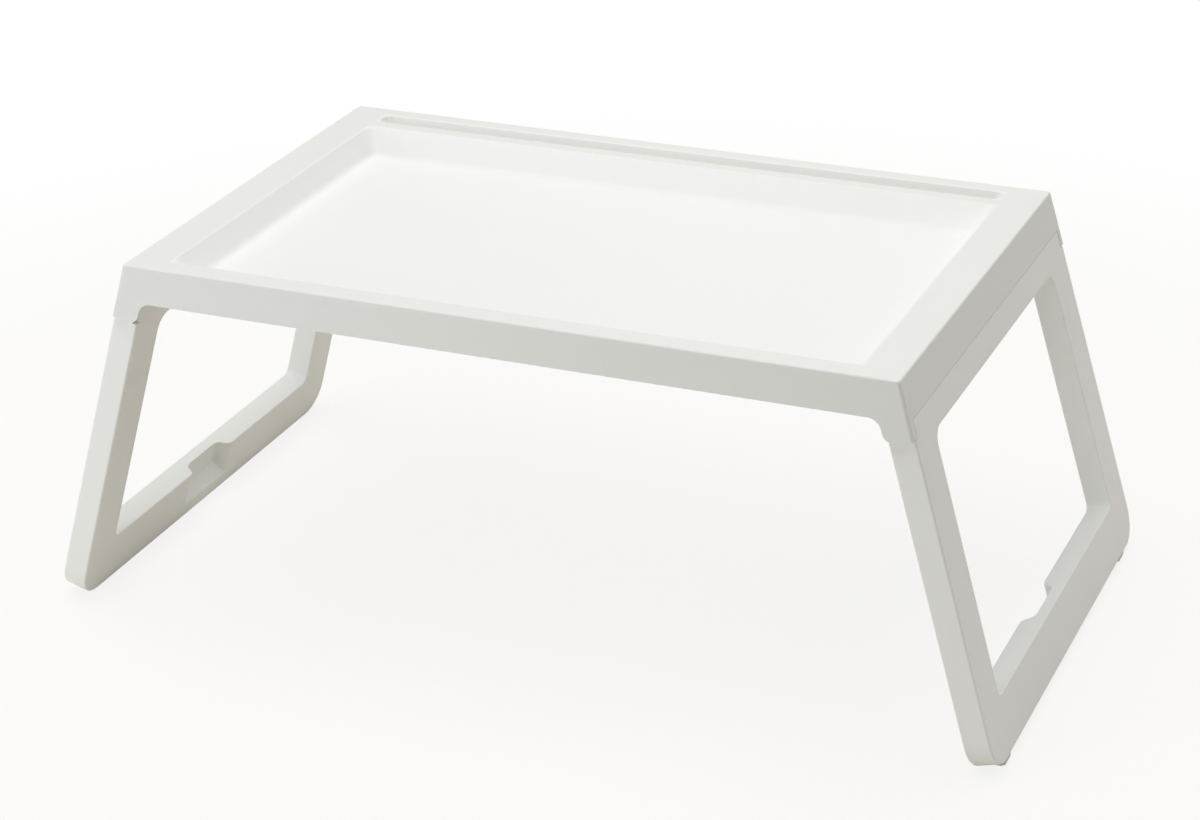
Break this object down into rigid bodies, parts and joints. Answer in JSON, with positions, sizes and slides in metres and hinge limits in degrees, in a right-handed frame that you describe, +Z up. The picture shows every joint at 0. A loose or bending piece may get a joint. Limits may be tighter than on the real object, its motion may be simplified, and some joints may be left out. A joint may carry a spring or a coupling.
{
  "type": "bed tray table",
  "caption": "Folding bed tray table: a rectangular tray with a sunk floor and a tablet groove, on two splayed frame legs that fold flat beneath it.",
  "frame": {"origin": "on the floor under the middle of the table, at the undersides of the foot pads", "axes": "+X along the table's length to the right, +Y to the back edge with the tablet groove, +Z up"},
  "size_m": [0.71, 0.3714, 0.2725],
  "materials": {
    "tray_plastic": "moulded polypropylene, fine satin texture",
    "leg_plastic": "moulded polypropylene, fine satin texture",
    "pad_rubber": "moulded thermoplastic rubber, matt"
  },
  "bodies": {
    "tray": {"tray": "tray_plastic"},
    "left_leg": {"left_leg_shell": "leg_plastic", "left_leg_cover": "leg_plastic", "left_front_foot_pad": "pad_rubber", "left_rear_foot_pad": "pad_rubber"},
    "right_leg": {"right_leg_shell": "leg_plastic", "right_leg_cover": "leg_plastic", "right_front_foot_pad": "pad_rubber", "right_rear_foot_pad": "pad_rubber"}
  },
  "joints": [
    {"name": "left_leg_fold", "type": "hinge", "parent": "tray", "child": "left_leg", "pos_m": [-0.27789, 0, 0.2381], "axis": [0, -1, 0], "range_deg": [0, 105.8]},
    {"name": "right_leg_fold", "type": "hinge", "parent": "tray", "child": "right_leg", "pos_m": [0.27789, 0, 0.2381], "axis": [0, 1, 0], "range_deg": [0, 105.8]}
  ]
}
